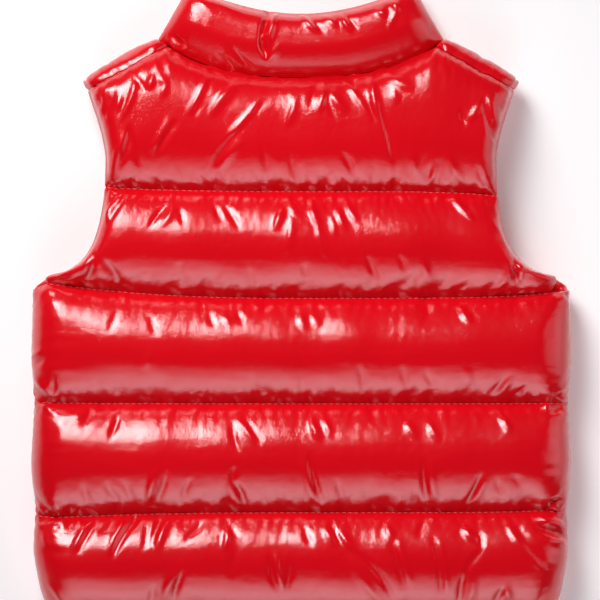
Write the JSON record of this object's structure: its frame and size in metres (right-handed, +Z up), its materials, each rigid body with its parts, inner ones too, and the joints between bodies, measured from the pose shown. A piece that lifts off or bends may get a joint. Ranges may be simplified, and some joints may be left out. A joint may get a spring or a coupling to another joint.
{
  "type": "child's puffer vest, laid flat",
  "caption": "Sleeveless down-filled vest in glossy red cloth with stitched-through horizontal baffles, a stand collar and a closed front zip, lying on its front with the back up.",
  "frame": {"origin": "On the surface the vest lies on, under the middle of its bounding box", "axes": "+X across the vest to the right as its back is seen, +Y from the hem to the collar, +Z up from the surface through the fronts to the back panel"},
  "size_m": [0.3998, 0.4712, 0.0528],
  "materials": {
    "shell": "finely woven nylon with a lacquered, high-gloss face over down filling",
    "zip_tape": "matt woven tape",
    "zip_teeth": "moulded teeth, satin",
    "zip_metal": "plain polished die-cast metal"
  },
  "bodies": {
    "vest": {"back": "shell", "front_left": "shell", "front_right": "shell", "collar": "shell", "zip_tape_left": "zip_tape", "zip_tape_right": "zip_tape", "zip_chain": "zip_teeth", "zip_box": "zip_metal", "zip_slider": "zip_metal"},
    "pull": {"zip_pull": "zip_metal"}
  },
  "joints": [
    {"name": "pull_hinge", "type": "hinge", "parent": "vest", "child": "pull", "pos_m": [0, 0.16765, 0.01108], "axis": [1, 0, 0], "range_deg": [0, 165]}
  ]
}
